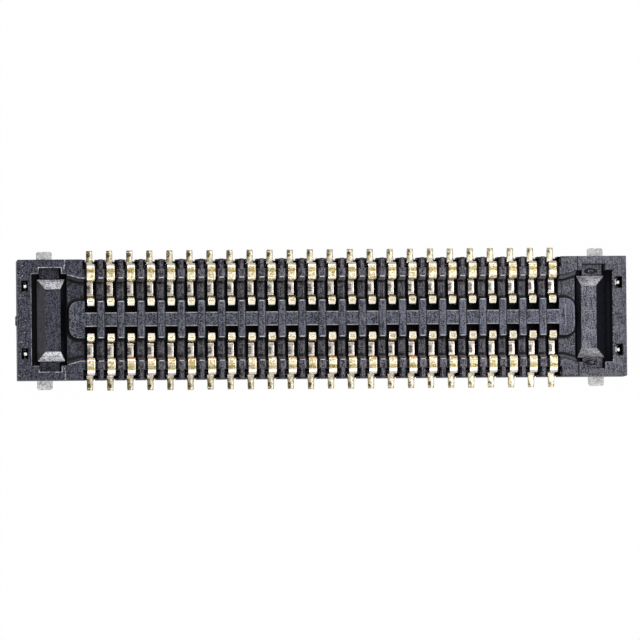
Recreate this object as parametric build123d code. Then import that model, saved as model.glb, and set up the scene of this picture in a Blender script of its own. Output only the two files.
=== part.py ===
from build123d import *
import os

# Socket half of a fine-pitch board to board connector, lying on its circuit board.
# X runs along the rows, Y across them and Z away from the board.
# The origin is on the board, under the middle of the part. All sizes are millimetres.
# Sizes across the part are half widths, measured out from its centre line.

# Contact pattern
contacts_per_row = 24
pitch = 0.40

# Housing, overall
end_overhang = 1.46
body_width = 2.39
board_clearance = 0.03
wall_top = 0.74
end_block_rise = 0.02
end_block_step = 0.49
corner_radius = 0.02

# Ring groove that the plug drops into, and the flare at each of its ends
groove_floor = 0.36
groove_half_width = 0.79
groove_floor_inset = 0.056
groove_lead_in = 0.036
groove_lead_in_depth = 0.08
flare_start = 0.22

# Island between the two rows
island_half_width = 0.376
island_end_overhang = 0.44
island_corner_radius = 0.20
island_below_wall = 0.06
island_draft = 0.026
web_half_width = 0.145
web_step = 0.015
pad_start = 0.21

# Slot that each contact stands in, with a tee for its leg, closed by two lips and a mouth
slot_width = 0.24
tee_width = 0.31
mouth_width = 0.195
lip_thickness = 0.033
lip_below_wall = 0.25
leg_recess = 0.035
saddle_relief = 0.035
leg_play = 0.035
lip_play = 0.057
cup_play = 0.07

# End pocket, with a bevelled bar standing in it and a ledge at each end of the bar
pocket_start = 0.47
end_wall = 0.28
pocket_half_width = 0.91
pocket_floor = 0.12
notch_depth = 0.12
notch_inner_step = 0.12
notch_outer_step = 0.15
bar_inner_gap = 0.03
bar_outer_gap = 0.12
bar_end_gap = 0.095
bar_below_floor = 0.02
bar_bevel_drop = 0.05
bar_bevel_end = 0.195
bar_bevel_outer = 0.165
bar_bevel_inner = 0.09
ledge_side_gap = 0.022
ledge_below_floor = 0.06
ledge_bevel = 0.03

# Stub of the moulding gate on the left end face
gate_width = 0.20
gate_proud = 0.025
gate_bottom = 0.10
gate_height = 0.24

# Contact strip
strip_thickness = 0.07
contact_proud = 0.02
leg_width = 0.162
tail_width = 0.125
tail_length = 0.20
cup_width = 0.138
cup_below_floor = 0.10
tip_width = 0.15
neck_length = 0.04
bend_ease = 0.05
cup_ease = 0.06
barb_bottom = 0.18
barb_rise = 0.10
barb_height = 0.13

# Sprung arm: how far each corner stands out from the island's side, and below its top
foot_out = 0.064
waist_out = -0.011
waist_below = 0.21
knee_out = 0.046
knee_below = 0.105
crown_out = -0.004
crown_below = 0.02
tip_out = -0.112
tip_below = 0.08

# Hold-down plates
plate_thickness = 0.07
strap_from_end = 0.56
strap_width = 0.31
tab_length = 0.18
tab_corner_radius = 0.05
nick_width = 0.05
nick_depth = 0.03
prong_from_end = 0.16
prong_offset = 0.67
prong_width = 0.14
prong_height = 0.62
prong_ease = 0.025
prong_tip_width = 0.07
prong_barb_bottom = 0.22
prong_barb_height = 0.12
window_width = 0.21
window_inner_play = 0.01
window_outer_play = 0.04

# How far a cut runs past the face that it opens, and how deep a raised form is rooted
cut_margin = 0.10
root = 0.02

# Places worked out from the sizes above
row_end = (contacts_per_row - 1) * pitch / 2
body_end = row_end + end_overhang
body_side = body_width / 2
end_block_top = wall_top + end_block_rise
contact_top = wall_top + contact_proud
island_top = wall_top - island_below_wall
above = max(end_block_top, contact_top) + cut_margin
below = -cut_margin
pocket_inner = row_end + pocket_start
pocket_outer = body_end - end_wall
notch_x0 = pocket_inner + notch_inner_step
notch_x1 = pocket_outer - notch_outer_step
notch_half_width = pocket_half_width + notch_depth
bar_half_width = pocket_half_width - bar_end_gap
core_inner = groove_half_width + leg_recess
tee_outer = body_side - lip_thickness
lip_top = wall_top - lip_below_wall
outer_leg_face = tee_outer - lip_play
core_outer = outer_leg_face - strip_thickness - leg_play
cup_top = groove_floor - cup_below_floor
strap_x = body_end - strap_from_end
prong_x = body_end - prong_from_end
tab_reach = body_side + tab_length
columns = [(i - (contacts_per_row - 1) / 2) * pitch for i in range(contacts_per_row)]


def block(x0, x1, y0, y1, z0, z1):
    """Upright block, given by its limits along X, Y and Z."""
    outline = Pos((x0 + x1) / 2, (y0 + y1) / 2, z0) * Rectangle(x1 - x0, y1 - y0)
    return extrude(outline, z1 - z0, dir=(0, 0, 1))


def both_rows(solid):
    """A solid on the back row together with its mirror image on the front row."""
    return solid + mirror(solid, about=Plane.XZ)


def both_ends(solid):
    """A solid at the right end together with its mirror image at the left end."""
    return solid + mirror(solid, about=Plane.YZ)


def body_blank():
    """Long block whose side view steps up at the two end blocks, with rounded corners."""
    step = row_end + end_block_step
    side_view = Polyline(
        (-body_end, board_clearance),
        (body_end, board_clearance),
        (body_end, end_block_top),
        (step, end_block_top),
        (step, wall_top),
        (-step, wall_top),
        (-step, end_block_top),
        (-body_end, end_block_top),
        close=True,
    )
    blank = extrude(make_face(Plane.XZ * side_view), body_side, both=True)
    corners = blank.edges().filter_by(Axis.Z).group_by(lambda edge: abs(edge.center().X))[-1]
    return fillet(corners, corner_radius)


def groove_section(x, widen):
    """Cross-section of the plug groove at one place along the part."""
    side = groove_half_width + widen
    floor_side = side - groove_floor_inset
    break_height = wall_top - groove_lead_in_depth
    rise = above - break_height
    lip_side = side + groove_lead_in * rise / groove_lead_in_depth
    outline = Polyline(
        (-floor_side, groove_floor),
        (floor_side, groove_floor),
        (side, break_height),
        (lip_side, above),
        (-lip_side, above),
        (-side, break_height),
        close=True,
    )
    return Pos(x, 0, 0) * make_face(Plane.YZ * outline)


def island():
    """Tongue between the rows, drafted all round, with end pads and a rib between contacts."""
    length = 2 * (row_end + island_end_overhang)
    width = 2 * island_half_width
    draft = 2 * island_draft
    top = RectangleRounded(length, width, island_corner_radius)
    foot = RectangleRounded(length + draft, width + draft, island_corner_radius + island_draft)
    tongue = loft([Pos(0, 0, groove_floor - root) * foot, Pos(0, 0, island_top) * top], ruled=True)
    dip_end = row_end + pad_start
    dip = block(-dip_end, dip_end, -web_half_width, web_half_width, island_top - web_step, above)
    ribs = [
        block(x + slot_width / 2, x + pitch - slot_width / 2, -web_half_width, web_half_width,
              island_top - web_step - root, island_top)
        for x in columns[:-1]
    ]
    return tongue - dip + ribs


def plug_groove():
    """Ring groove round the island, flared towards each end pocket."""
    flare_x = row_end + flare_start
    middle = extrude(groove_section(-flare_x, 0), 2 * flare_x, dir=(1, 0, 0))
    flare = pocket_half_width - groove_half_width - groove_lead_in
    end = loft([groove_section(flare_x, 0), groove_section(pocket_inner, flare)], ruled=True)
    return middle + both_ends(end) - island()


def end_bar():
    """Bar in the right end pocket: upright sides and a four-sided bevel round its top."""
    x0 = pocket_inner + bar_inner_gap
    x1 = pocket_outer - bar_outer_gap
    flat_x0 = x0 + bar_bevel_inner
    flat_x1 = x1 - bar_bevel_outer
    top = groove_floor - bar_below_floor
    shoulder = top - bar_bevel_drop
    stem = block(x0, x1, -bar_half_width, bar_half_width, pocket_floor - root, shoulder)
    foot = Rectangle(x1 - x0, 2 * bar_half_width)
    flat = Rectangle(flat_x1 - flat_x0, 2 * (bar_half_width - bar_bevel_end))
    sections = [
        Pos((x0 + x1) / 2, 0, shoulder) * foot,
        Pos((flat_x0 + flat_x1) / 2, 0, top) * flat,
    ]
    return stem + loft(sections, ruled=True)


def end_ledge():
    """Low ledge that closes the back notch of the right end pocket, beside the bar."""
    x0 = notch_x0 + ledge_side_gap
    x1 = notch_x1 - ledge_side_gap
    top = groove_floor - ledge_below_floor
    side_view = Polyline(
        (bar_half_width, pocket_floor - root),
        (bar_half_width, top - ledge_bevel),
        (bar_half_width + ledge_bevel, top),
        (notch_half_width + root, top),
        (notch_half_width + root, pocket_floor - root),
        close=True,
    )
    return extrude(Pos(x0, 0, 0) * make_face(Plane.YZ * side_view), x1 - x0, dir=(1, 0, 0))


def end_pocket():
    """Deep pocket beyond the right end of the island, less the bar and ledges left in it."""
    well = block(pocket_inner, pocket_outer, -pocket_half_width, pocket_half_width,
                 pocket_floor, above)
    notch = block(notch_x0, notch_x1, -notch_half_width, notch_half_width, pocket_floor, above)
    return well + notch - end_bar() - both_rows(end_ledge())


def contact_slot():
    """Everything cut away for the back and front contact of one column."""
    slot_floor = cup_top - strip_thickness - cup_play
    saddle_top = contact_top - strip_thickness
    side_view = Polyline(
        (web_half_width, above),
        (web_half_width, slot_floor),
        (core_inner, slot_floor),
        (core_inner, saddle_top - saddle_relief),
        (core_inner + saddle_relief, saddle_top),
        (core_outer, saddle_top),
        (core_outer, above),
        close=True,
    )
    trough = extrude(make_face(Plane.YZ * side_view), slot_width / 2, both=True)
    half = tee_width / 2
    mouth = mouth_width / 2
    outside = body_side + cut_margin
    tee = block(-half, half, core_outer, tee_outer, below, above)
    opening = block(-mouth, mouth, tee_outer, outside, below, above)
    over_lips = block(-half, half, tee_outer, outside, lip_top, above)
    return both_rows(trough + tee + opening + over_lips)


def hold_down_seat():
    """Underside channel for the right strap and ears, with the two windows for its prongs."""
    half = plate_thickness / 2
    side = body_side + cut_margin
    strap = block(strap_x - strap_width / 2, strap_x + strap_width / 2, -side, side,
                  below, plate_thickness)
    ear = block(strap_x, prong_x + half, prong_offset - prong_width / 2,
                prong_offset + prong_width / 2, below, plate_thickness)
    window = block(prong_x - half - window_inner_play, prong_x + half + window_outer_play,
                   prong_offset - window_width / 2, prong_offset + window_width / 2, below, above)
    return strap + both_rows(ear + window)


def gate_stub():
    """What is left of the moulding gate, low on the left end face."""
    outline = Pos(-body_end, 0, gate_bottom) * SlotOverall(gate_width, 2 * gate_proud, 90)
    return extrude(outline, gate_height)


def housing():
    """Moulded body that carries both rows of contacts and both hold-downs."""
    body = body_blank() - plug_groove() - both_ends(end_pocket())
    body = body - [Pos(x, 0, 0) * contact_slot() for x in columns]
    return body - both_ends(hold_down_seat()) + gate_stub()


def eased(points, eases):
    """Corner points of a bent strip, with each corner that has an ease cut back to two."""
    path = [Vector(points[0])]
    for before, corner, after, ease in zip(points, points[1:], points[2:], eases):
        corner = Vector(corner)
        into = (Vector(before) - corner).normalized()
        out = (Vector(after) - corner).normalized()
        path += [corner + into * ease, corner + out * ease] if ease else [corner]
    return path + [Vector(points[-1])]


def bent_strip(points, eases, plane, width, thickness):
    """Flat strip of one width and thickness, bent along a path of corners in one plane."""
    path = plane * Polyline(*eased(points, eases))
    start = Plane(origin=path @ 0, x_dir=plane.z_dir, z_dir=path % 0)
    return sweep(start * Rectangle(width, thickness), path=path, transition=Transition.RIGHT)


def mirrored_outline(half_widths):
    """Closed face from the half widths of a shape that is alike on both sides of an axis."""
    other_side = [(-across, along) for across, along in reversed(half_widths)]
    return Polyline(*half_widths, *other_side, close=True)


def contact():
    """Back-row contact: solder tail, leg, bar over the wall, cup and sprung arm."""
    half = strip_thickness / 2
    tail_reach = body_side + tail_length
    outer_leg = outer_leg_face - half
    inner_leg = core_inner - half
    top = contact_top - half
    cup = cup_top - half
    arm_foot = island_half_width + foot_out
    spine = [
        (tail_reach, half),
        (outer_leg, half),
        (outer_leg, top),
        (inner_leg, top),
        (inner_leg, cup),
        (arm_foot, cup),
        (island_half_width + waist_out, island_top - waist_below),
        (island_half_width + knee_out, island_top - knee_below),
        (island_half_width + crown_out, island_top - crown_below),
        (island_half_width + tip_out, island_top - tip_below),
    ]
    eases = [bend_ease, bend_ease, bend_ease, cup_ease, cup_ease, 0, 0, 0]
    strip = bent_strip(spine, eases, Plane.YZ, leg_width, strip_thickness)
    plan = mirrored_outline([
        (tail_width / 2, tail_reach),
        (tail_width / 2, outer_leg_face + neck_length),
        (leg_width / 2, outer_leg_face),
        (leg_width / 2, inner_leg - half),
        (cup_width / 2, inner_leg - half - neck_length),
        (cup_width / 2, arm_foot + half + neck_length),
        (tip_width / 2, arm_foot + half),
        (tip_width / 2, 0),
    ])
    barbs = mirrored_outline([
        (leg_width / 2, barb_bottom),
        (tee_width / 2, barb_bottom + barb_rise),
        (leg_width / 2, barb_bottom + barb_height),
    ])
    barbed = extrude(Pos(0, outer_leg, 0) * make_face(Plane.XZ * barbs), half, both=True)
    return (strip & extrude(make_face(plan), contact_top)) + barbed


def hold_down():
    """Right hold-down: strap with a solder tab at each end and two prongs bent up."""
    half = plate_thickness / 2
    outline = RectangleRounded(strap_width, 2 * tab_reach, tab_corner_radius)
    strap = extrude(Pos(strap_x, 0, 0) * outline, plate_thickness)
    spine = [(strap_x, half), (prong_x, half), (prong_x, prong_height)]
    prong = bent_strip(spine, [prong_ease], Plane.XZ, window_width, plate_thickness)
    barb_top = prong_barb_bottom + prong_barb_height
    front_view = mirrored_outline([
        (prong_width / 2, 0),
        (prong_width / 2, prong_barb_bottom),
        (window_width / 2, barb_top),
        (prong_width / 2, barb_top),
        (prong_tip_width / 2, prong_height),
    ])
    prong = prong & extrude(make_face(Plane.YZ * front_view), body_end, dir=(1, 0, 0))
    return strap + both_rows(Pos(0, prong_offset, 0) * prong)


def nicked(plate):
    """The plate with a small shear nick in the end of its back tab."""
    nick = Polyline(
        (strap_x - nick_width / 2, tab_reach),
        (strap_x, tab_reach - nick_depth),
        (strap_x + nick_width / 2, tab_reach),
        close=True,
    )
    return plate - extrude(make_face(nick), plate_thickness)


def write(name, solid):
    export_step(solid, "parts/" + name + ".step")


os.makedirs("parts", exist_ok=True)
write("housing", housing())

back_contact = contact()
front_contact = mirror(back_contact, about=Plane.XZ)
for number, x in enumerate(columns, start=1):
    write(f"contact_back_{number:02d}", Pos(x, 0, 0) * back_contact)
    write(f"contact_front_{number:02d}", Pos(x, 0, 0) * front_contact)

plate = hold_down()
write("hold_down_right", nicked(plate))
write("hold_down_left", mirror(plate, about=Plane.YZ))
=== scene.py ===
import math

import bmesh
import bpy
from mathutils import Matrix, Vector


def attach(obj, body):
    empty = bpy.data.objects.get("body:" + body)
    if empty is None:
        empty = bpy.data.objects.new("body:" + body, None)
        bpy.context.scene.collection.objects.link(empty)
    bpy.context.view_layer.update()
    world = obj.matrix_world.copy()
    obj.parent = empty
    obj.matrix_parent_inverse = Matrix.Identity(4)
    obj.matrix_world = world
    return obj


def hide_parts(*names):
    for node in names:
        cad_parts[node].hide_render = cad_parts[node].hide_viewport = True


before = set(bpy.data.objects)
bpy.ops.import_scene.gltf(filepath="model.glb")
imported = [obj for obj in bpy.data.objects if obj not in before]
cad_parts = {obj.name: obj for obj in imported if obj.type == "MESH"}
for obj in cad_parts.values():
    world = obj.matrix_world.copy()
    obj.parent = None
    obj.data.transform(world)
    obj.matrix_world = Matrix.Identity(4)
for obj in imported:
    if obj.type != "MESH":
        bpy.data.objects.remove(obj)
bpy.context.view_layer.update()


# Moulded housing. One piece of black liquid crystal polymer with walls, island, end
# pockets and bars. Glass in the resin leaves a grey speckle and short flow streaks on the
# skin. The skin carries painted light and shade, the deep cavities are painted a glossy
# near black as shade, and the edges carry painted highlights, with painted shade and a
# painted highlight at two windows.

MM = 0.001
PITCH, PER_ROW = 0.40, 24
ROW_END = (PER_ROW - 1) * PITCH / 2
HOUSING_HALF = (ROW_END + 1.46, 1.195)
EDGE_RADIUS = 0.016
TOP_Z, ISLAND_Z, UPPER_Z = 0.74, 0.68, 0.60  # walls, island, lowest height with painted edge highlights
FLOOR_Z, BAR_Z, LEDGE_Z, PIT_Z = 0.36, 0.34, 0.30, 0.28
FLOOR_SIDE, LEAD_IN_SIDE, TOP_SIDE = 0.734, 0.774, 0.824  # the groove's wall, from its foot up
LIP_SIDE = 0.99
FLARE_START, FLARE_RUN, FLARE_WIDEN = ROW_END + 0.22, 0.25, 0.073
ISLAND_FOOT, ISLAND_FOOT_RADIUS, ISLAND_RIM = (ROW_END + 0.464, 0.402), 0.226, 0.045
ISLAND_LINE_X, ISLAND_LINE_HALF = ROW_END + 0.25, 0.25
RIB_HALF, BLOCK_HALF, WEB_SIDE = 0.047, 0.078, 0.130
STEP_X = ROW_END + 0.49
POCKET_X, POCKET_SIDE = (ROW_END + 0.47, HOUSING_HALF[0] - 0.28), 0.91
NOTCH_X, NOTCH_SIDE = (POCKET_X[0] + 0.12, POCKET_X[1] - 0.15), 1.03
BAR_X, BAR_HALF, BAR_SIDE, BAR_BEVEL_DROP = ROW_END + 0.78, 0.28, 0.82, 0.052
WINDOW_EDGE, WINDOW_SIDE = HOUSING_HALF[0] - 0.205, 0.670
INSERT_LINE_SIDE = 0.44
RING_PLACE, RING_HALF = (BAR_X + 0.007, 0.912), (0.110, 0.048)  # ejector pin marks on the ledges


class Wire:
    """One socket of a node tree, so that masks and sums read as plain maths."""

    def __init__(self, tree, socket=None):
        self.tree, self.socket = tree, socket

    def node(self, kind, settings=None, values=None, out=0):
        """Adds a node with its settings first and its sockets next, and returns one output."""
        made = self.tree.nodes.new(kind)
        for name, setting in (settings or {}).items():
            if name == "stops":
                ramp = made.color_ramp.elements
                for place, _ in setting[2:]:
                    ramp.new(place)
                for element, (place, colour) in zip(ramp, setting):
                    element.position, element.color = place, colour
            else:
                setattr(made, name, setting)
        for key, value in (values or {}).items():
            if isinstance(value, Wire):
                value.feed(made, key)
            else:
                made.inputs[key].default_value = value
        return Wire(self.tree, made.outputs[out])

    def beside(self, output):
        """Another output of the node that this wire comes from."""
        return Wire(self.tree, self.socket.node.outputs[output])

    def feed(self, node, key):
        """Runs this wire into one input of a node."""
        self.tree.links.new(self.socket, node.inputs[key])

    def maths(self, operation, a, b=0.0, clamp=False):
        return self.node("ShaderNodeMath", {"operation": operation, "use_clamp": clamp}, {0: a, 1: b})

    def __add__(self, other):
        return self.maths("ADD", self, other)

    __radd__ = __add__

    def __sub__(self, other):
        return self.maths("SUBTRACT", self, other)

    def __rsub__(self, other):
        return self.maths("SUBTRACT", other, self)

    def __mul__(self, other):
        return self.maths("MULTIPLY", self, other)

    __rmul__ = __mul__

    def __truediv__(self, other):
        return self.maths("DIVIDE", self, other)

    def __gt__(self, other):
        return self.maths("GREATER_THAN", self, other)

    def __lt__(self, other):
        return self.maths("LESS_THAN", self, other)

    def __abs__(self):
        return self.maths("ABSOLUTE", self)

    def clipped(self):
        """The same number, held between 0 and 1."""
        return self.maths("MULTIPLY", self, 1.0, clamp=True)

    def above(self, start, blur):
        """Goes from 0 to 1 as this number rises past start, over a width of blur."""
        return ((self - start) / blur + 0.5).clipped()

    def near(self, centre, half, blur):
        """1 within half of the centre and 0 further out, with an edge as wide as blur."""
        return 1 - abs(self - centre).above(half, blur)

    def folded(self, half):
        """This number run to and fro between 0 and half."""
        return self.maths("PINGPONG", self, half)

    def root(self):
        return self.maths("SQRT", self)

    def most(self, other):
        return self.maths("MAXIMUM", self, other)

    def least(self, other):
        return self.maths("MINIMUM", self, other)

    def blend(self, low, high):
        """Colour that goes from low to high as this number goes from 0 to 1."""
        return self.node("ShaderNodeMix", {"data_type": "RGBA"}, {0: self, 6: low, 7: high}, out=2)

    def times(self, colour):
        """The colour made darker or lighter by this number."""
        return self.node("ShaderNodeVectorMath", {"operation": "SCALE"}, {0: colour, 3: self})

    def stretched(self, factors):
        """This vector or colour, with each of its parts multiplied by its own factor."""
        return self.node("ShaderNodeVectorMath", {"operation": "MULTIPLY"}, {0: self, 1: factors})

    def noise(self, scale, detail=2.0, stretch=(1.0, 1.0, 1.0)):
        """Noise about zero, from this vector, with its three axes stretched as given."""
        values = {"Vector": self.stretched(stretch), "Scale": scale, "Detail": detail}
        return self.node("ShaderNodeTexNoise", None, values) - 0.5

    def stepped(self, stops):
        """A number read from (place, value) stops, in rising order, at this number's place."""
        first, last = stops[0][0], stops[-1][0]
        top = max(value for _, value in stops)
        ramp = [((place - first) / (last - first), (value / top,) * 3 + (1,)) for place, value in stops]
        share = (self - first) / (last - first)
        return self.node("ShaderNodeValToRGB", {"stops": ramp}, {0: share}) * top


def finish_named(name, constants):
    """A new material with a bare Principled shader; gives both and a first wire."""
    material = bpy.data.materials.new(name)
    material.use_nodes = True
    shader = material.node_tree.nodes["Principled BSDF"]
    for key, value in constants.items():
        shader.inputs[key].default_value = value
    return material, shader, Wire(material.node_tree)


def place_in_mm(wire):
    """The point on the piece, in millimetres, as one vector and as x, y and z."""
    metres = wire.node("ShaderNodeTexCoord", out=3)
    mm = wire.node("ShaderNodeVectorMath", {"operation": "SCALE"}, {0: metres, 3: 1 / MM})
    split = wire.node("ShaderNodeSeparateXYZ", None, {0: mm})
    return mm, [split.beside(i) for i in range(3)]


def facing(wire):
    """The way the surface faces on the piece, as x, y and z."""
    split = wire.node("ShaderNodeSeparateXYZ", None, {0: wire.node("ShaderNodeTexCoord", out=1)})
    return [split.beside(i) for i in range(3)]


def roughened(shader, height, depth, strength):
    """Lets a height from 0 to 1 tilt the shading as a relief some millimetres deep would."""
    values = {"Strength": strength, "Distance": depth * MM, "Height": height}
    height.node("ShaderNodeBump", None, values).feed(shader, "Normal")


def outside(x, y, x_range, side):
    """How far a place is outside an upright rectangle at either end of the part."""
    return (abs(y) - side).most(abs(x) - x_range[1]).most(x_range[0] - abs(x))


def flared(x):
    """How much the plug groove has widened at x, on its way to the end pocket."""
    return ((abs(x) - FLARE_START) / FLARE_RUN).clipped() * FLARE_WIDEN


def past_island(x, y):
    """Distance outside the foot of the island, which has rounded ends."""
    out_x = (abs(x) - (ISLAND_FOOT[0] - ISLAND_FOOT_RADIUS)).most(0.0)
    out_y = (abs(y) - (ISLAND_FOOT[1] - ISLAND_FOOT_RADIUS)).most(0.0)
    return (out_x * out_x + out_y * out_y).root() - ISLAND_FOOT_RADIUS


def edge_highlights(mm, x, y, z):
    """Where pale lines are painted on the moulding as highlights of its edges, with pale specks, from 0 to 1,
    and most of all at its left end.
    """
    left, in_rows, far_left = x < -ROW_END, abs(x) < ROW_END, x < -POCKET_X[1]
    upper, top = z > UPPER_Z, z > TOP_Z - 0.01
    dashes = (mm.noise(14.0, 3.0) * 5.0 + 0.55).clipped()
    dots = (mm.noise(24.0) * 7.0 + 0.15).clipped()
    wall = (abs(y) - TOP_SIDE - flared(x)).near(0.0, 0.010, 0.008) * (abs(x) < POCKET_X[0])
    island = (past_island(x, y) + ISLAND_RIM).near(0.0, 0.009, 0.010)

    # Painted highlights on ribs, web, and the tops of the groove's wall and of the island
    from_rib = x.folded(PITCH / 2)
    on_rib = (1 - from_rib.above(RIB_HALF - 0.001, 0.016)) * in_rows
    rib_ends = (wall * (1.1 + (y > 0) * 0.3) + island * 0.85) * on_rib * (dashes * 0.35 + 0.65)
    rib_sides = (1 - (x - RIB_HALF).folded(PITCH / 2).above(0.012, 0.012)) * in_rows
    rib_sides = rib_sides * (dashes * 0.14 + 0.05) * (1 - abs(y).near(0.0, WEB_SIDE, 0.02) * 0.5)
    between_ribs = from_rib.above(BLOCK_HALF + 0.007, 0.02) * (abs(x) < ROW_END + 0.12)
    web = abs(y).near(WEB_SIDE, 0.007, 0.008) * between_ribs
    wall_ends = wall * (dots * 0.9 + 0.4) * left
    island_ends = island * (abs(x) > ROW_END + 0.2) * (dots * 0.3 + (1 - left) * dashes * 0.12)
    island_line = x.near(ISLAND_LINE_X, 0.006, 0.010) * abs(y).near(0.0, ISLAND_LINE_HALF, 0.1)
    edges = rib_ends + wall_ends + island_ends + web * (dashes * 0.25 + 0.36) + island_line * dashes * 0.3

    # Painted highlights on the rims of the end pockets, steps and mould lines, a painted highlight at two
    # windows, and pale specks
    pocket = outside(x, y, POCKET_X, POCKET_SIDE).least(outside(x, y, NOTCH_X, NOTCH_SIDE))
    rim = pocket.near(0.006, 0.007, 0.010) * top * (abs(x) > POCKET_X[0] + 0.02)
    left_rim = dashes * 0.7 + 0.08 + (x < 0.01 - POCKET_X[1]) * 0.16
    left_rim = left_rim * (abs(y).above(POCKET_SIDE + 0.05, 0.05) * 0.8 + 0.60) * left
    right_rim = dots * 0.5 * (x > POCKET_X[1]) + (x > NOTCH_X[1]) * (y < 0.05 - POCKET_SIDE) * 0.55
    step = (abs(x) + abs(y) * 0.1).near(STEP_X + 0.14, 0.014, 0.02)
    step = step * (abs(y) > TOP_SIDE + 0.016) * left * dots * top
    insert = abs(y).near(INSERT_LINE_SIDE, 0.006, 0.012) * (x < -POCKET_X[1] - 0.04) * (z > TOP_Z - 0.05)
    window_highlight = x.near(WINDOW_EDGE - 0.010, 0.013, 0.008) * (abs(y) - WINDOW_SIDE).near(0.0, 0.050, 0.03)
    pale_specks = (mm.noise(34.0) * 9.0 - 2.05 + (x < -POCKET_X[1] - 0.05) * 0.75).clipped()
    pale_specks = pale_specks * (0.35 - x * 0.03 + far_left * 0.4) * (z > FLOOR_Z - 0.1)

    lines = edges * upper + rib_sides * 0.75 + rim * (left_rim + right_rim) + step * 0.7
    return (lines + insert * dots * 0.5 + window_highlight * (z > TOP_Z - 0.03) * 1.4 + pale_specks).clipped()


CORE, SKIN, HIGHLIGHT_PALE = (0.008, 0.008, 0.014, 1), (0.168, 0.167, 0.200, 1), (0.80, 0.81, 0.84, 1)
BEVEL_HIGHLIGHT_DARK, BEVEL_HIGHLIGHT_PALE = (0.150, 0.149, 0.162, 1), (0.515, 0.515, 0.55, 1)
COOL, NEUTRAL = (0.94, 0.96, 1.16, 1), (1.0, 1.0, 1.0, 1)
WARM, BLUISH = (1.02, 0.94, 0.92, 1), (0.96, 0.99, 1.06, 1)
SKIN_ALONG = [  # x, how pale painted light makes the skin there
    (-6.0, 0.50), (-4.7, 0.55), (-4.2, 0.72), (-2.5, 0.86), (0.0, 1.0),
    (2.5, 1.2), (4.4, 1.36), (5.0, 1.62), (5.6, 1.75), (6.0, 1.5),
]


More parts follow.
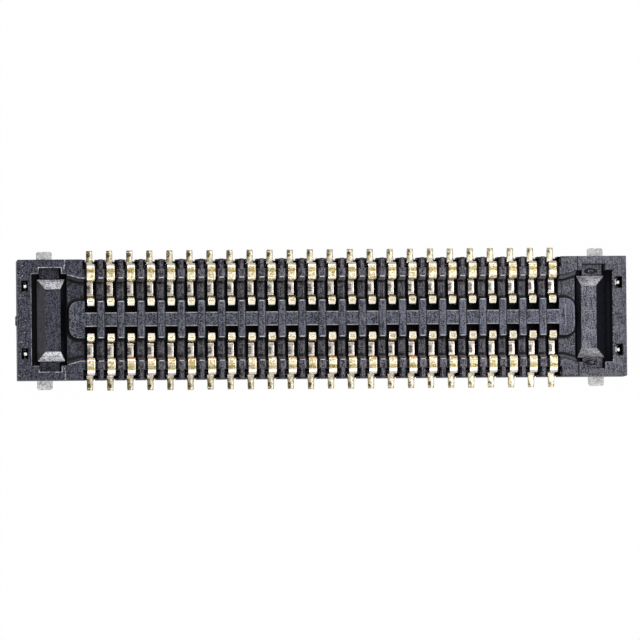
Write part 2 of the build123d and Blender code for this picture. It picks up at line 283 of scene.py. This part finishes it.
def moulded_skin():
    material, shader, wire = finish_named("moulded_skin", {"Specular IOR Level": 0.20})
    mm, (x, y, z) = place_in_mm(wire)
    ny, nz = facing(wire)[1:]
    in_rows, in_groove, right = abs(x) < ROW_END, abs(x) < POCKET_X[0], x > 0
    top, on_floor = z > TOP_Z - 0.04, z < FLOOR_Z + 0.02

    # Speckle and flow streaks, calmer on the upright faces
    streak = mm.noise(1.0, 2.0, (42.0, 6.0, 20.0)) * 2.6
    coarse = mm.noise(21.0) * (2.2 - x * 0.40) + mm.noise(4.0) * 0.8
    relief = mm.noise(44.0, 3.0) * (5.6 - x * 0.45) + streak * (1 - x * 0.08) + coarse
    relief = relief * (1 + on_floor * 0.35)
    upright = 1 - abs(nz).above(0.5, 0.4)
    grain = (relief * (1 - upright * 0.62) + 0.5 + upright * 0.06).clipped()

    # Painted shade at the foot of walls and island, along the block edges, at the right end's step and corner
    # and at two windows, and pin marks on the right end's ledges
    wall_foot = (abs(y) - FLOOR_SIDE - flared(x) + (y < 0) * 0.014).near(0.0, 0.027, 0.012) * in_groove
    island_foot = past_island(x, y).near(0.006, 0.028, 0.012)
    foot = wall_foot.most(island_foot) * (z < FLOOR_Z + 0.10)
    step = abs(x).near(STEP_X, 0.010, 0.012) * (abs(y) > POCKET_SIDE - 0.01) * top * right
    corner = abs(x).near(POCKET_X[1] + 0.01, 0.006, 0.012) * (abs(y) > POCKET_SIDE + 0.04) * top * right
    ring_x, ring_y = (x - RING_PLACE[0]) / RING_HALF[0], (abs(y) - RING_PLACE[1]) / RING_HALF[1]
    ring = (ring_x * ring_x + ring_y * ring_y).near(0.85, 0.52, 0.2) * (z < LEDGE_Z + 0.02) * right * 1.2
    ring = ring * ((mm.noise(12.0) * 6.0 + 1.3) * (y < 0) + (y > 0)).clipped()
    block_edge = x.folded(PITCH / 2).near(BLOCK_HALF, 0.007, 0.010) * on_floor * in_rows
    window_shade = x.near(WINDOW_EDGE - 0.016, 0.023, 0.010) * (abs(y) - WINDOW_SIDE).near(0.0, 0.085, 0.02)
    window_shade = window_shade * top * (mm.noise(26.0) * 3.0 + 1.2)
    dark = (foot.most(ring) + step + corner * 0.6 + block_edge + window_shade).clipped()

    # Painted light and shade on the skin: paler from the left end to the right, and lighter or darker from
    # one surface to the next
    high, on_island = z.above(ISLAND_Z - 0.008, 0.004), past_island(x, y) < 0
    island_ends = on_island * ((x < -ROW_END) * 0.60 + (x > ROW_END) * 0.08)
    island_middle = on_island * abs(x).near(0.0, 1.6, 2.4)
    right_bar = (z < BAR_Z + 0.01) * (x > STEP_X)
    lead_in = (abs(y) - flared(x)).near(LEAD_IN_SIDE, 0.020, 0.012) * in_groove * (z < TOP_Z - 0.03)
    level = x.stepped(SKIN_ALONG) * (1 + high * (in_rows * 0.33 - 0.20) * (x > -ROW_END))
    level = level * (1 + island_ends + right_bar * 0.16)
    level = level * (1 - in_rows * ((abs(y) > 0.7) * high * 0.09 + island_middle * 0.12))
    level = level * (1 + lead_in * 0.55) * (1 - dark * 0.97)
    tint = x.above(-4.0, 3.0).blend(COOL, NEUTRAL)
    tint = (abs(y).above(0.60, 0.3) * in_rows).blend(tint, WARM)
    tint = ((abs(y) < ISLAND_FOOT[1] + 0.018) * in_groove).blend(tint, BLUISH)
    colour = level.times(grain.blend(CORE, SKIN).stretched(tint))
    colour = edge_highlights(mm, x, y, z).blend(colour, HIGHLIGHT_PALE)

    # Painted highlights on the bevels at both ends of each bar, brighter on the left bar
    bar_end_highlight = abs(x).near(BAR_X, BAR_HALF + 0.03, 0.005) * abs(ny).above(0.12, 0.02) * (nz > 0.9)
    bar_end_highlight = bar_end_highlight * z.near(BAR_Z - BAR_BEVEL_DROP / 2, BAR_BEVEL_DROP / 2, 0.002)
    lines = (mm.noise(1.0, 2.0, (9.0, 70.0, 1.0)) * 3.6 + mm.noise(30.0) * 3.4 + 0.56).clipped()
    back = y.above(0.0, 0.2)
    left_tone, right_tone = 2.1 - back * 0.45, 1.0 + back * 0.4
    tone = left_tone + (right_tone - left_tone) * x.above(0.0, 1.0)
    colour = bar_end_highlight.blend(colour, tone.times(lines.blend(BEVEL_HIGHLIGHT_DARK, BEVEL_HIGHLIGHT_PALE)))

    colour.feed(shader, "Base Color")
    (0.56 - grain * 0.14).feed(shader, "Roughness")
    roughened(shader, grain, depth=0.006, strength=0.4)
    return material


VOID_SHADE_DARK, VOID_SHADE_PALE = (0.0030, 0.0030, 0.0050, 1), (0.0060, 0.0064, 0.0098, 1)
FLANK_SHADE_DARK, FLANK_SHADE_PALE = (0.044, 0.044, 0.047, 1), (0.080, 0.080, 0.086, 1)
EDGE_BLACK = (0.022, 0.022, 0.030, 1)


def cavity_shade():
    material, shader, wire = finish_named("cavity_shade", {"Specular IOR Level": 0.08})
    mm, (x, y, z) = place_in_mm(wire)
    # Painted shade: near black in the cavities, dark grey on the lips and on the left bar's outer flank
    flow = (mm.noise(20.0) * 2.0 + 0.5).clipped()
    right_end = (abs(x) > POCKET_X[0]) * x.above(0.0, 1.0)
    lips = abs(y).above(LIP_SIDE, 0.02) * (abs(x) < ROW_END) * (z < UPPER_Z)
    tone = x.above(0.0, 8.0) * 0.3 + 0.7 + right_end * 1.2 + lips * 8.0
    left_flank_shade = z.near(BAR_Z - 0.025, 0.03, 0.01) * (x < -BAR_X)
    colour = tone.times(flow.blend(VOID_SHADE_DARK, VOID_SHADE_PALE))
    left_flank_shade.blend(colour, flow.blend(FLANK_SHADE_DARK, FLANK_SHADE_PALE)).feed(shader, "Base Color")
    (0.34 + flow * 0.1).feed(shader, "Roughness")
    return material


def highlighted_edge():
    material, shader, wire = finish_named("highlighted_edge", {"Roughness": 0.45, "Specular IOR Level": 0.16})
    mm, (x, y, z) = place_in_mm(wire)
    # The bevels' black, with the painted edge highlights on it
    edge_highlights(mm, x, y, z).blend(EDGE_BLACK, HIGHLIGHT_PALE).feed(shader, "Base Color")
    return material


def put_in_scene(name, data):
    """A new object at the origin."""
    made = bpy.data.objects.new(name, data)
    bpy.context.scene.collection.objects.link(made)
    return made


def plain_piece(work, name):
    """Swaps a working object in millimetres for a plain piece in metres, with nothing live on it."""
    mesh = bpy.data.meshes.new_from_object(work.evaluated_get(bpy.context.evaluated_depsgraph_get()))
    bpy.data.objects.remove(work)
    mesh.transform(Matrix.Scale(MM, 4))
    return put_in_scene(name, mesh)


WELD, NEARLY_FLAT, SHARP = 0.0002, math.radians(1), math.radians(20)
EDGE_SHARE = 0.42  # how much of the shortest edge beside it a rounding may take


def softened(node, name, radius, finishes, finish_of=None, rounding_of=None):
    """A copy of a CAD node with its outer edges rounded, less where short edges meet them."""
    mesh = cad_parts[node].data.copy()
    mesh.transform(Matrix.Scale(1 / MM, 4))
    mesh.materials.clear()
    for finish in finishes:
        mesh.materials.append(finish)
    shape = bmesh.new()
    shape.from_mesh(mesh)
    bmesh.ops.remove_doubles(shape, verts=shape.verts, dist=WELD)
    bmesh.ops.dissolve_limit(shape, angle_limit=NEARLY_FLAT, verts=shape.verts, edges=shape.edges)
    for face in shape.faces:
        face.material_index = finish_of(face) if finish_of else 0
    weight = shape.edges.layers.float.new("bevel_weight_edge")
    for edge in shape.edges:
        if len(edge.link_faces) == 2 and edge.is_convex and edge.calc_face_angle() > SHARP:
            shortest = min(e.calc_length() for v in edge.verts for e in v.link_edges if e is not edge)
            share = rounding_of(edge) if rounding_of else 1.0
            edge[weight] = share * min(1.0, EDGE_SHARE * shortest / radius)
    shape.to_mesh(mesh)
    shape.free()
    work = put_in_scene("work", mesh)
    rounding = work.modifiers.new("rounding", "BEVEL")
    rounding.limit_method = "WEIGHT"
    rounding.width = radius
    rounding.segments = 2
    rounding.use_clamp_overlap = False
    rounding.material = len(finishes) - 1
    shading = work.modifiers.new("shading", "WEIGHTED_NORMAL")
    shading.keep_sharp = True
    return plain_piece(work, name)


def moulded_finish(face):
    """0 for the grained skin and 1 for the glossy near black painted as shade on the cavities, upright inner
    faces and deep floors.
    """
    middle, normal = face.calc_center_median(), face.normal
    x, y, z = abs(middle.x), abs(middle.y), middle.z
    inside = x < HOUSING_HALF[0] - 0.01 and y < HOUSING_HALF[1] - 0.005
    bar_side = abs(x - BAR_X) < BAR_HALF + 0.01 and y < BAR_SIDE and z > 0.25
    bar_flank = bar_side and abs(normal.x) > 0.2 and normal.z > 0.2
    wall_draft = FLOOR_SIDE < y < POCKET_SIDE + 0.01 and x < POCKET_X[0] and abs(normal.z) > 0.1
    upright = inside and abs(normal.z) < 0.25 and not wall_draft
    under_leg = x < FLARE_START and y > 1.0 and z < UPPER_Z
    under_bar = y > 0.80 and 0.62 < z < 0.695
    floors = inside and normal.z > 0.9 and (z < PIT_Z or under_leg or under_bar)
    return int(bar_flank or upright or floors)


def moulded_rounding(edge):
    """The share of the edge radius: small low down, and none on the lips of the contact slots."""
    top, out = max(v.co.z for v in edge.verts), min(abs(v.co.y) for v in edge.verts)
    if out > 1.15 and top < 0.55:
        return 0.0
    return 0.2 if top < BAR_Z + 0.005 else 1.0


moulding = [moulded_skin(), cavity_shade(), highlighted_edge()]
housing = softened("housing", "moulded_housing", EDGE_RADIUS, moulding, moulded_finish, moulded_rounding)
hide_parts("housing")
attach(housing, "root")


# Sprung contacts. Each is one strip of copper alloy, blanked, formed and plated:
# pale gold on the tail, the bar and the tip, and bare nickel in the cup. The forming
# tool leaves rounded edges, and the plating is thin and mottled where it was gripped.

STRIP, STRIP_EDGE = 0.07, 0.014
STRIP_PATH = [  # distance out from the centre line, height, bend radius
    (1.391, 0.035, 0),      # end of the tail, on the board
    (1.070, 0.035, 0.045),  # foot of the leg
    (1.070, 0.725, 0.040),  # over the wall
    (0.790, 0.725, 0.038),  # down into the groove
    (0.790, 0.225, 0.050),  # outer bend of the cup
    (0.440, 0.225, 0.055),  # inner bend of the cup
    (0.365, 0.470, 0.100),  # waist of the arm
    (0.446, 0.578, 0.032),  # knee that touches the plug
    (0.374, 0.660, 0.040),  # crown
    (0.262, 0.600, 0),      # tip, over the island
]
TAIL_OUT, LEG_OUT, GROOVE_OUT, CUP_OUT = [STRIP_PATH[corner][0] for corner in (0, 1, 3, 5)]
KNEE_OUT, CROWN_OUT, TIP_OUT = [STRIP_PATH[corner][0] for corner in (7, 8, 9)]
TAIL_WIDTH, LEG_WIDTH, CUP_WIDTH, TIP_WIDTH = 0.125, 0.162, 0.136, 0.150
STRIP_WIDTHS = [  # corners passed along the strip, width
    (0.00, TAIL_WIDTH), (0.64, TAIL_WIDTH), (0.70, LEG_WIDTH), (4.00, LEG_WIDTH),
    (4.14, CUP_WIDTH), (5.00, CUP_WIDTH), (5.30, TIP_WIDTH), (9.00, TIP_WIDTH),
]
BARB = [(0.180, 0.0), (0.280, 0.074), (0.310, 0.0)]  # height, how far it stands out of the leg
EDGE_ROUND = [(1.0, 0.0), (0.707, 0.707), (0.0, 1.0), (-0.6, 1.0)]  # in edge radii
END_NARROWER, END_THICKNESS = 0.006, 0.80
LONGEST_RUN = 0.06
UV_WIDTH, UV_CORNERS, BARB_UV = 0.16, 10, (0.5, 0.12)
PLAY = 0.003


def rounded_path(corners, steps=5):
    """Points along a bent strip, each with how many corners it has passed."""
    points = [(Vector(corners[0][:2]), 0.0)]
    for i, (before, corner, after) in enumerate(zip(corners, corners[1:], corners[2:]), start=1):
        here = Vector(corner[:2])
        back, ahead = Vector(before[:2]) - here, Vector(after[:2]) - here
        half = back.angle(ahead) / 2
        reach = corner[2] / math.tan(half)
        centre = here + (back.normalized() + ahead.normalized()).normalized() * (corner[2] / math.sin(half))
        first, last = here + back.normalized() * reach - centre, here + ahead.normalized() * reach - centre
        turn = first.angle_signed(last)
        for k in range(steps + 1):
            share = 2 * k / steps - 1
            passed = i + share * reach / (back if share < 0 else ahead).length
            points.append((centre + Matrix.Rotation(-turn * k / steps, 2) @ first, passed))
    return points + [(Vector(corners[-1][:2]), float(len(corners) - 1))]


def width_at(passed):
    """The strip's width at one place along it."""
    for (a, wide_a), (b, wide_b) in zip(STRIP_WIDTHS, STRIP_WIDTHS[1:]):
        if passed <= b:
            return wide_a + (wide_b - wide_a) * (passed - a) / (b - a)
    return STRIP_WIDTHS[-1][1]


def strip_rings(shape, side):
    """Rounded cross sections along the strip, each with how many corners it has passed."""
    path, fine = rounded_path(STRIP_PATH), []
    for (a, passed_a), (b, passed_b) in zip(path, path[1:]):
        runs = max(1, math.ceil((b - a).length / LONGEST_RUN))
        fine += [(a.lerp(b, i / runs), passed_a + (passed_b - passed_a) * i / runs) for i in range(runs)]
    fine.append(path[-1])
    section = []
    for sx, sn in ((1, 1), (-1, 1), (-1, -1), (1, -1)):
        section += [(sx, sn, c, s) for c, s in (EDGE_ROUND if sx * sn > 0 else EDGE_ROUND[::-1])]
    rings = []
    for i, (point, passed) in enumerate(fine):
        tangent = (fine[min(i + 1, len(fine) - 1)][0] - fine[max(i - 1, 0)][0]).normalized()
        normal = Vector((tangent.y, -tangent.x))
        half = width_at(passed) / 2
        at_end = i in (0, len(fine) - 1)
        ring = []
        for sx, sn, c, s in section:
            across = sx * (half - STRIP_EDGE + STRIP_EDGE * c) - (sx * END_NARROWER if at_end else 0)
            off = sn * (STRIP / 2 - STRIP_EDGE + STRIP_EDGE * s) * (END_THICKNESS if at_end else 1.0)
            place = point + normal * off
            ring.append(shape.verts.new((across, side * place.x, place.y)))
        rings.append((ring, passed))
    return rings


def strip_mesh(name, side):
    """One contact at the middle of its row, with a UV map of place across and along the strip."""
    shape = bmesh.new()
    uv = shape.loops.layers.uv.new("strip")
    rings = strip_rings(shape, side)
    for (ring, passed), (after, passed_after) in zip(rings, rings[1:]):
        for j in range(len(ring)):
            k = (j + 1) % len(ring)
            face = shape.faces.new((ring[j], ring[k], after[k], after[j]))
            for loop, at in zip(face.loops, (passed, passed, passed_after, passed_after)):
                loop[uv].uv = (loop.vert.co.x / UV_WIDTH + 0.5, at / UV_CORNERS)
            face.smooth = True
    shape.faces.new(reversed(rings[0][0]))
    shape.faces.new(rings[-1][0])
    for sx in (1, -1):
        corners = [(sx * (LEG_WIDTH / 2 + proud), z) for z, proud in BARB]
        near, far = [
            [shape.verts.new((x, side * out, z)) for x, z in corners]
            for out in (LEG_OUT - STRIP / 2, LEG_OUT + STRIP / 2)
        ]
        faces = [shape.faces.new(near), shape.faces.new(far)]
        faces += [shape.faces.new((near[i], near[i + 1], far[i + 1], far[i])) for i in range(2)]
        faces.append(shape.faces.new((near[2], near[0], far[0], far[2])))
        for loop in [loop for face in faces for loop in face.loops]:
            loop[uv].uv = BARB_UV
    bmesh.ops.recalc_face_normals(shape, faces=shape.faces)
    mesh = bpy.data.meshes.new(name)
    shape.to_mesh(mesh)
    shape.free()
    return mesh


CREAM, GOLD, OLIVE = (0.83, 0.77, 0.61, 1), (0.45, 0.36, 0.16, 1), (0.24, 0.18, 0.06, 1)
GLINT_WHITE, ORANGE = (0.90, 0.87, 0.79, 1), (0.62, 0.27, 0.08, 1)
SHOULDER_DARK, SHOULDER_PALE = (0.46, 0.42, 0.40, 1), (0.62, 0.58, 0.53, 1)
LEG_DARK, LEG_PALE = (0.36, 0.30, 0.19, 1), (0.62, 0.55, 0.41, 1)
TAIL_DARK, TAIL_PALE, TAIL_EDGE_REFLECTION = (0.50, 0.43, 0.26, 1), (0.93, 0.86, 0.67, 1), (0.10, 0.095, 0.09, 1)
SIDE_REFLECTION_DARK, SIDE_REFLECTION_PALE = (0.045, 0.032, 0.016, 1), (0.18, 0.15, 0.08, 1)
NICKEL, NICKEL_DARK_REFLECTION, REFLECTED_BARS_DARK = (0.63, 0.575, 0.52, 1), (0.16, 0.155, 0.145, 1), (0.035, 0.032, 0.030, 1)
CROWN, KNEE, UNDER_KNEE_SHADE = (0.84, 0.80, 0.70, 1), (1.0, 0.94, 0.80, 1), (0.20, 0.13, 0.06, 1)
HEART_DARK, HEART_PALE = (0.36, 0.28, 0.14, 1), (0.52, 0.43, 0.25, 1)
CUP_BEND_SHADE = (0.12, 0.09, 0.06, 1)
GRIP_OUT = 0.964
CUP_MIDDLE = (CUP_OUT + GROOVE_OUT) / 2
CUP_CORNERS, TIP_CORNERS = (4.42, 0.80), 6.35  # corners passed: cup's middle and half, tip's start
SIDE_REFLECTION_ACROSS = [(0.0, 0.96), (0.24, 0.92), (0.42, 0.70), (0.56, 0.0), (1.0, 0.0)]


def plated_strip():
    material, shader, wire = finish_named("plated_strip", {"Metallic": 1.0})
    across = wire.node("ShaderNodeSeparateXYZ", None, {0: wire.node("ShaderNodeUVMap", {"uv_map": "strip"})})
    passed = across.beside(1) * UV_CORNERS
    lot = wire.node("ShaderNodeAttribute", {"attribute_name": "lot"}).beside("Fac")
    mm, (x, y, z) = place_in_mm(wire)
    out, front = abs(y), y < 0
    off_middle = abs(across - 0.5)
    blotch, fine = mm.noise(15.0), mm.noise(34.0)
    ruled, drawn = mm.noise(1.0, 1.0, (6.0, 46.0, 6.0)), mm.noise(1.0, 2.0, (60.0, 9.0, 9.0))

    # Bar over the wall, with an olive band where the tool gripped it and a painted highlight at its outer
    # bend
    colour = (blotch * 4.5 + fine * 5.0 + ruled * 4.5 + 0.60 - x * 0.006).clipped().blend(GOLD, CREAM)
    colour = off_middle.above(0.40, 0.06).blend(colour, CREAM)
    band = out.near(GRIP_OUT, 0.034, 0.03) * (lot * 0.5 + 0.75)
    colour = (band * 0.5).clipped().blend(colour, GOLD)
    colour = ((fine * 9.0 + blotch * 5.0 + 0.38) * band).clipped().blend(colour, OLIVE)
    strokes = (1 - abs(mm.noise(10.0, 1.0)) * 26.0).clipped() * off_middle.near(0.0, 0.34, 0.1)
    colour = (strokes * out.near(GRIP_OUT - 0.024, 0.062, 0.03) * 0.75).blend(colour, OLIVE)
    colour = out.near(LEG_OUT - 0.016, 0.010, 0.014).blend((0.895 - x * 0.021).times(colour), GLINT_WHITE)

    # Shoulder and leg, and the copper that shows at the bends
    shoulder = (drawn * 2.4 + blotch * 2.0 + 0.30).clipped().blend(SHOULDER_DARK, SHOULDER_PALE)
    colour = out.above(LEG_OUT + 0.006, 0.014).blend(colour, (front * 0.28 + 1).times(shoulder))
    leg = (drawn * 3.0 + blotch * 3.0 + 0.5).clipped().blend(LEG_DARK, LEG_PALE)
    colour = (out.above(LEG_OUT + 0.026, 0.006) * z.near(0.34, 0.28, 0.08)).blend(colour, leg)
    # Painted highlight on the front row, beside the bend over the wall
    colour = (out.near(LEG_OUT - 0.030, 0.030, 0.02) * front * 0.9).blend(colour, GLINT_WHITE)
    front_rust = out.near(GROOVE_OUT - 0.010, 0.014, 0.014) * 0.7 + out.near(TIP_OUT, 0.018, 0.014) * 1.2
    back_rust = out.near(KNEE_OUT + 0.002, 0.008, 0.012) + out.near(GROOVE_OUT - 0.010, 0.008, 0.012)
    rust = (front * front_rust * (lot * 0.8 + 0.4) + (1 - front) * back_rust * lot * 0.35).clipped()
    colour = rust.blend(colour, ORANGE)

    # Tail, with a painted dark reflection along one side and a painted dark reflection line near the other,
    # blots near its end, and brighter on the front row towards the right
    tail = out.above(LEG_OUT + 0.088, 0.016) * (z < 0.2)
    tail_mottle = (fine * 3.0 + blotch * 3.0 + 0.60).clipped().blend(TAIL_DARK, TAIL_PALE)
    colour = tail.blend(colour, (1 + front * (0.13 + x * 0.04)).times(tail_mottle))
    fade = 1.0 - (x + ROW_END) / (2 * ROW_END) * 0.45
    blot = across.near(0.42, 0.22, 0.2) * out.near(TAIL_OUT - 0.081, 0.050, 0.04) * (blotch * 5.0 + 0.62)
    side_reflection_and_blots = ((across.stepped(SIDE_REFLECTION_ACROSS) * (fine * 2.0 + 0.95) + blot) * fade * tail).clipped()
    colour = side_reflection_and_blots.blend(colour, (fine * 4.0 + 0.05).clipped().blend(SIDE_REFLECTION_DARK, SIDE_REFLECTION_PALE))
    colour = (across.near(0.80, 0.045, 0.06) * tail * 0.75).blend(colour, TAIL_EDGE_REFLECTION)

    # Cup of bare nickel, with a painted dark reflection and reflected dark bars on one side, painted shade at
    # its bends, and darker in the middle of the row
    shade = 1 - across.above(0.56 + drawn * 0.5, 0.20)
    dull_reflection = (shade * out.near(CUP_MIDDLE, 0.080, 0.04) * (0.90 + x * 0.02)).clipped()
    reflected_bars = (mm.noise(1.0, 1.0, (12.0, 44.0, 1.0)) * 6.0 + 0.50 - x * 0.03).clipped()
    reflected_bars = shade * reflected_bars * out.near(CUP_MIDDLE + 0.005, 0.085, 0.05) * 0.90
    bare = reflected_bars.blend(dull_reflection.blend(NICKEL, NICKEL_DARK_REFLECTION), REFLECTED_BARS_DARK)
    bare = (1 - abs(x).near(0.0, 1.2, 2.4) * (front * 0.09 + 0.09)).times(bare)
    bend_shade = (out.near(CUP_OUT + 0.066, 0.016, 0.02) + out.near(GROOVE_OUT - 0.045, 0.022, 0.02)) * 0.55
    colour = passed.near(*CUP_CORNERS, 0.16).blend(colour, bend_shade.clipped().blend(bare, CUP_BEND_SHADE))

    # Tip of the arm, with a darker heart on its crown and painted shade beneath the knee
    heart = out.near(CROWN_OUT - 0.012, 0.034, 0.03) * off_middle.near(0.0, 0.36, 0.2)
    heart = (heart * (fine * 3.0 + strokes * 0.8 + 0.86)).clipped()
    tip = out.above(CROWN_OUT + 0.021, 0.02).blend(CROWN, KNEE)
    tip = heart.blend(tip, lot.blend(HEART_DARK, HEART_PALE))
    tip = (out.above(KNEE_OUT + 0.006, 0.012) * 0.8).blend(tip, UNDER_KNEE_SHADE)
    colour = passed.above(TIP_CORNERS, 0.15).blend(colour, rust.blend(tip, ORANGE))

    colour.feed(shader, "Base Color")
    (0.26 + drawn * 0.3 + fine * 0.2).feed(shader, "Roughness")
    roughened(shader, drawn * 0.6 + blotch * 0.4, depth=0.006, strength=0.3)
    return material


def row_tree():
    """Geometry Nodes that set one formed contact at every place along a row."""
    tree = bpy.data.node_groups.new("contact_row", "GeometryNodeTree")
    sockets = tree.interface
    inputs = [
        ("Contact", "Geometry"), ("Count", "Int"), ("Pitch", "Float"),
        ("Play", "Float"), ("Seed", "Int"), ("Finish", "Material"),
    ]
    for name, kind in inputs:
        sockets.new_socket(name=name, in_out="INPUT", socket_type="NodeSocket" + kind)
    sockets.new_socket(name="Row", in_out="OUTPUT", socket_type="NodeSocketGeometry")
    given = tree.nodes.new("NodeGroupInput")
    contact, count, pitch, play, seed, finish = [Wire(tree, output) for output in given.outputs[:len(inputs)]]
    wire = Wire(tree)
    start = wire.node("ShaderNodeCombineXYZ", None, {0: (count - 1) * pitch * -0.5})
    step = wire.node("ShaderNodeCombineXYZ", None, {0: pitch})
    line = wire.node("GeometryNodeMeshLine", None, {"Count": count, "Start Location": start, "Offset": step})
    low = wire.node("ShaderNodeCombineXYZ", None, {0: play * -1, 1: play * -1})
    high = wire.node("ShaderNodeCombineXYZ", None, {0: play, 1: play})
    nudge = {0: low, 1: high, "Seed": seed}
    shake = wire.node("FunctionNodeRandomValue", {"data_type": "FLOAT_VECTOR"}, nudge)
    loose = wire.node("GeometryNodeSetPosition", None, {"Geometry": line, "Offset": shake})
    placed = wire.node("GeometryNodeInstanceOnPoints", None, {"Points": loose, "Instance": contact})
    lot = wire.node("FunctionNodeRandomValue", {"data_type": "FLOAT"}, {2: 0.0, 3: 1.0, "Seed": seed}, out=1)
    marked = wire.node("GeometryNodeStoreNamedAttribute", {"data_type": "FLOAT", "domain": "INSTANCE"},
                       {"Geometry": placed, "Name": "lot", "Value": lot})
    solid = wire.node("GeometryNodeRealizeInstances", None, {"Geometry": marked})
    plated = wire.node("GeometryNodeSetMaterial", None, {"Geometry": solid, "Material": finish})
    plated.feed(tree.nodes.new("NodeGroupOutput"), 0)
    return tree, {item.name: item.identifier for item in sockets.items_tree if item.in_out == "INPUT"}


row_nodes, row_inputs = row_tree()
plating = plated_strip()
for row, side, seed in (("back", 1, 3), ("front", -1, 8)):
    one = put_in_scene("work", strip_mesh("one_contact", side))
    repeat = one.modifiers.new("row", "NODES")
    repeat.node_group = row_nodes
    given = {"Count": PER_ROW, "Pitch": PITCH, "Play": PLAY, "Seed": seed, "Finish": plating}
    for name, value in given.items():
        repeat[row_inputs[name]] = value
    contacts = plain_piece(one, "contacts_" + row)
    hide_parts(*[f"contact_{row}_{n:02d}" for n in range(1, PER_ROW + 1)])
    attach(contacts, "root")


# Hold-downs. One flat plate at each end, sheared from copper alloy and tin plated,
# with a solder tab on both sides and two barbed prongs pressed up into the housing.

PLATE_EDGE = 0.012
TIN_DARK, TIN_PALE, TIN_LIT = (0.22, 0.22, 0.23, 1), (0.56, 0.56, 0.54, 1), (0.95, 0.95, 0.95, 1)


def matt_tin():
    material, shader, wire = finish_named("matt_tin", {"Metallic": 1.0})
    mm, (_, y, z) = place_in_mm(wire)
    crystals = wire.node("ShaderNodeTexVoronoi", None, {"Vector": mm, "Scale": 22.0})
    frost = (crystals * 0.7 + mm.noise(18.0, 3.0) * 2.6 + 0.28).clipped()
    tin = (1.02 - y * 0.075).times(frost.blend(TIN_DARK, TIN_PALE))
    # Painted highlight on the prong tops, seen through the windows
    lit_prongs = z.above(FLOOR_Z, 0.02)
    (lit_prongs * (frost * 0.6 + 0.4)).blend(tin, TIN_LIT).feed(shader, "Base Color")
    (0.38 + frost * 0.2).feed(shader, "Roughness")
    roughened(shader, frost, depth=0.005, strength=0.3)
    return material


tin = matt_tin()
for end in ("left", "right"):
    plate = softened("hold_down_" + end, "hold_down_plate_" + end, PLATE_EDGE, [tin])
    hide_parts("hold_down_" + end)
    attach(plate, "root")


# Studio. A white floor that keeps the part's shadow, an even white sky, a lamp behind
# and one in front, a soft one over the right end, and the camera of the photograph.

FLOOR_METRES, FLOOR_GAP = 1.2, 0.002
FLOOR_WHITE, FLOOR_SHADE, FLOOR_GLOW = (0.92, 0.92, 0.92, 1), (0.01, 0.01, 0.01, 1), 0.985
NEAR_HALF = (6.8, 1.8)


def rays(wire):
    """1 for rays straight from the camera, off a glossy surface, and through glass."""
    path = wire.node("ShaderNodeLightPath")
    return path.beside("Is Camera Ray"), path.beside("Is Glossy Ray"), path.beside("Is Transmission Ray")


def white_floor():
    """White to the camera, with painted shade under the housing, and only as bright as it is lit in near
    reflections.
    """
    material, shader, wire = finish_named("white_floor", {"Roughness": 0.9, "Specular IOR Level": 0.0})
    x, y = [abs(place) for place in place_in_mm(wire)[1][:2]]
    under = x.near(0.0, HOUSING_HALF[0] - 0.03, 0.02) * y.near(0.0, HOUSING_HALF[1] - 0.023, 0.012)
    close = x.near(0.0, NEAR_HALF[0], 0.3) * y.near(0.0, NEAR_HALF[1], 0.3)
    camera_ray, glossy_ray, glass_ray = rays(wire)
    seen = (camera_ray + glossy_ray * (1 - close) + glass_ray).clipped() * (1 - under) * FLOOR_GLOW
    glow = wire.node("ShaderNodeEmission", None, {"Color": (1, 1, 1, 1), "Strength": 1.0})
    plain = Wire(wire.tree, shader.outputs[0])
    mixed = wire.node("ShaderNodeMixShader", None, {0: seen, 1: plain, 2: glow})
    mixed.feed(wire.tree.nodes["Material Output"], "Surface")
    under.blend(FLOOR_WHITE, FLOOR_SHADE).feed(shader, "Base Color")
    return material


bpy.ops.mesh.primitive_plane_add(size=FLOOR_METRES, location=(0, 0, -FLOOR_GAP * MM))
floor = bpy.context.object
floor.name = "floor"
floor.data.materials.append(white_floor())

SKY = 0.28
world = bpy.data.worlds.new("studio")
bpy.context.scene.world = world
world.use_nodes = True
background = world.node_tree.nodes["Background"]
background.inputs["Color"].default_value = (1, 1, 1, 1)
camera_ray, glossy_ray, glass_ray = rays(Wire(world.node_tree))
(SKY + (camera_ray + glossy_ray + glass_ray).clipped() * (1 - SKY)).feed(background, "Strength")

LAMPS = [  # name, place, aim, width, depth in mm, watts
    ("lamp_back", (-16, 37, 60), (0, 0, 0), 24, 12, 0.016),
    ("lamp_front", (-16, -37, 60), (0, 0, 0), 24, 12, 0.016),
    ("lamp_over", (22, 4, 62), (4, 0, 0), 22, 22, 0.006),
]
for name, place, aim, wide, deep, watts in LAMPS:
    data = bpy.data.lights.new(name, "AREA")
    data.shape = "RECTANGLE"
    data.size, data.size_y = wide * MM, deep * MM
    data.energy = watts
    lamp = put_in_scene(name, data)
    lamp.location = Vector(place) * MM
    lamp.rotation_euler = (Vector(aim) - Vector(place)).to_track_quat("-Z", "Y").to_euler()
    lamp.visible_camera = False

CAMERA_DISTANCE, CAMERA_AIM = 200.0, (-0.030, -0.031, 0.4)
TILT_LEFT, TILT_FRONT, ROLL = math.radians(3.651), math.radians(1.86), math.radians(-0.53)
optics = bpy.data.cameras.new("camera")
optics.sensor_width, optics.lens = 36, 565.6
optics.clip_start, optics.clip_end = 0.01, 10
camera = put_in_scene("camera", optics)
bpy.context.scene.camera = camera
back = Vector((-math.tan(TILT_LEFT), -math.tan(TILT_FRONT), 1)).normalized()
right = (-back).cross(Vector((0, 1, 0))).normalized()
turned = Matrix((right, back.cross(right), back)).transposed() @ Matrix.Rotation(ROLL, 3, "Z")
camera.matrix_world = Matrix.Translation((Vector(CAMERA_AIM) + back * CAMERA_DISTANCE) * MM) @ turned.to_4x4()

bpy.context.scene.view_settings.view_transform = "Standard"
